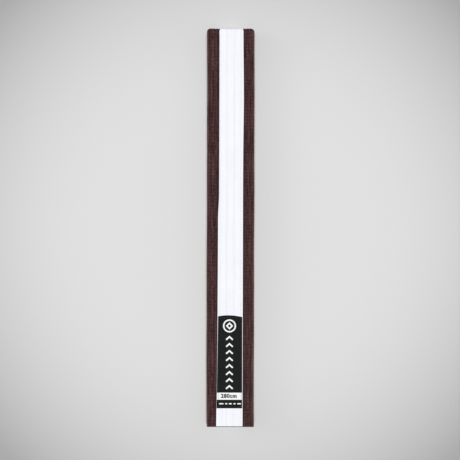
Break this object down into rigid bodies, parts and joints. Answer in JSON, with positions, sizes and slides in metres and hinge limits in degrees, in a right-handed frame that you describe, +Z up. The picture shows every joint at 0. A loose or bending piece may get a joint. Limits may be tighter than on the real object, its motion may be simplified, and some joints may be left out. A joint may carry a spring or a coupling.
{
  "type": "martial arts belt",
  "caption": "Long flat quilted cotton belt with a contrasting centre stripe and a woven end label, folded zig-zag into a flat bundle that opens at every fold.",
  "frame": {"origin": "middle of the bundle's underside, on the surface it lies on", "axes": "+X across the belt, +Y along the bundle towards the end without the label, +Z up out of the labelled face"},
  "size_m": [0.042, 0.351, 0.028],
  "materials": {
    "brown_cover": "matte twill cotton",
    "white_tape": "matte twill cotton",
    "canvas_core": "undyed canvas",
    "brown_thread": "spun polyester thread",
    "white_thread": "spun polyester thread",
    "black_thread": "spun polyester thread",
    "label_weave": "fine satin weave, slight sheen"
  },
  "bodies": {
    "panel_1": {"cover_panel_1": "brown_cover", "core_panel_1": "canvas_core", "front_tape_panel_1": "white_tape", "back_tape_panel_1": "white_tape", "edge_stitching_panel_1": "brown_thread", "tape_stitching_panel_1": "white_thread", "end_stitching_panel_1": "brown_thread", "woven_label": "label_weave", "label_stitching": "black_thread"},
    "panel_2": {"cover_panel_2": "brown_cover", "core_panel_2": "canvas_core", "front_tape_panel_2": "white_tape", "back_tape_panel_2": "white_tape", "edge_stitching_panel_2": "brown_thread", "tape_stitching_panel_2": "white_thread"},
    "panel_3": {"cover_panel_3": "brown_cover", "core_panel_3": "canvas_core", "front_tape_panel_3": "white_tape", "back_tape_panel_3": "white_tape", "edge_stitching_panel_3": "brown_thread", "tape_stitching_panel_3": "white_thread"},
    "panel_4": {"cover_panel_4": "brown_cover", "core_panel_4": "canvas_core", "front_tape_panel_4": "white_tape", "back_tape_panel_4": "white_tape", "edge_stitching_panel_4": "brown_thread", "tape_stitching_panel_4": "white_thread"},
    "panel_5": {"cover_panel_5": "brown_cover", "core_panel_5": "canvas_core", "front_tape_panel_5": "white_tape", "back_tape_panel_5": "white_tape", "edge_stitching_panel_5": "brown_thread", "tape_stitching_panel_5": "white_thread"},
    "panel_6": {"cover_panel_6": "brown_cover", "core_panel_6": "canvas_core", "front_tape_panel_6": "white_tape", "back_tape_panel_6": "white_tape", "edge_stitching_panel_6": "brown_thread", "tape_stitching_panel_6": "white_thread"},
    "panel_7": {"cover_panel_7": "brown_cover", "core_panel_7": "canvas_core", "front_tape_panel_7": "white_tape", "back_tape_panel_7": "white_tape", "edge_stitching_panel_7": "brown_thread", "tape_stitching_panel_7": "white_thread"},
    "panel_8": {"cover_panel_8": "brown_cover", "core_panel_8": "canvas_core", "front_tape_panel_8": "white_tape", "back_tape_panel_8": "white_tape", "edge_stitching_panel_8": "brown_thread", "tape_stitching_panel_8": "white_thread", "end_stitching_panel_8": "brown_thread"}
  },
  "joints": [
    {"name": "fold_4_5", "type": "hinge", "parent": "panel_5", "child": "panel_4", "pos_m": [0, -0.17557, 0.0139], "axis": [1, 0, 0], "range_deg": [0, 180]},
    {"name": "fold_3_4", "type": "hinge", "parent": "panel_4", "child": "panel_3", "pos_m": [0, 0.17557, 0.0174], "axis": [-1, 0, 0], "range_deg": [0, 180]},
    {"name": "fold_2_3", "type": "hinge", "parent": "panel_3", "child": "panel_2", "pos_m": [0, -0.17557, 0.0209], "axis": [1, 0, 0], "range_deg": [0, 180]},
    {"name": "fold_1_2", "type": "hinge", "parent": "panel_2", "child": "panel_1", "pos_m": [0, 0.17557, 0.0244], "axis": [-1, 0, 0], "range_deg": [0, 180]},
    {"name": "fold_5_6", "type": "hinge", "parent": "panel_5", "child": "panel_6", "pos_m": [0, 0.17557, 0.0104], "axis": [1, 0, 0], "range_deg": [0, 180]},
    {"name": "fold_6_7", "type": "hinge", "parent": "panel_6", "child": "panel_7", "pos_m": [0, -0.17557, 0.0069], "axis": [-1, 0, 0], "range_deg": [0, 180]},
    {"name": "fold_7_8", "type": "hinge", "parent": "panel_7", "child": "panel_8", "pos_m": [0, 0.17557, 0.0034], "axis": [1, 0, 0], "range_deg": [0, 180]}
  ]
}
